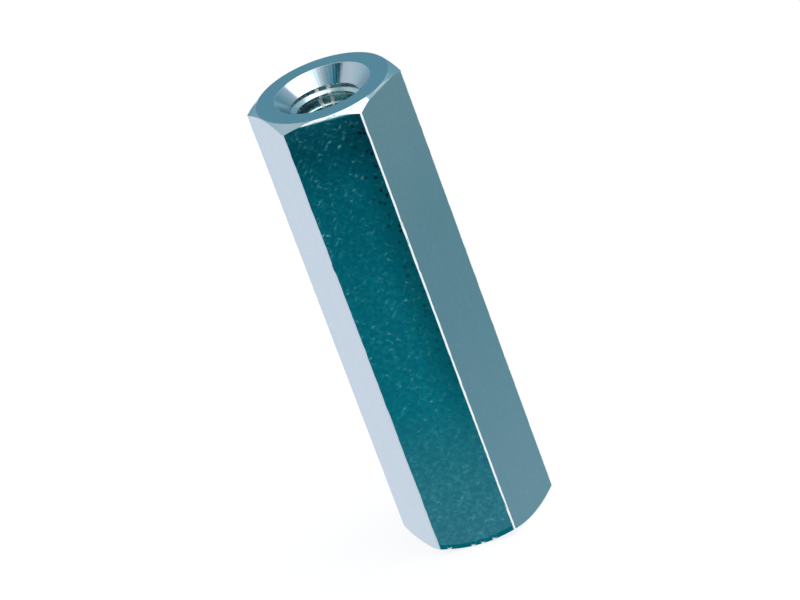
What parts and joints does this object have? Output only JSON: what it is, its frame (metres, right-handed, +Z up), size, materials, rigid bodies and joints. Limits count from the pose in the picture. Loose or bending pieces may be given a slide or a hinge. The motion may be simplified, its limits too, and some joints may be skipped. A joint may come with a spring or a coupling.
{
  "type": "threaded spacer",
  "caption": "Hexagonal metal spacer with a tapped through hole, countersunk mouths and chamfered ends, screwed between two panels or boards to hold them apart.",
  "frame": {"origin": "middle of the bottom end face, where the spacer stands", "axes": "+Z up along the tapped bore, +X through a corner of the hexagon, +Y square to a flat"},
  "size_m": [0.0064, 0.0054, 0.02],
  "materials": {
    "zinc_plated_steel": "bright zinc plate with a clear blue passivation, semi-gloss"
  },
  "bodies": {
    "root": {"threaded_spacer": "zinc_plated_steel"}
  },
  "joints": []
}
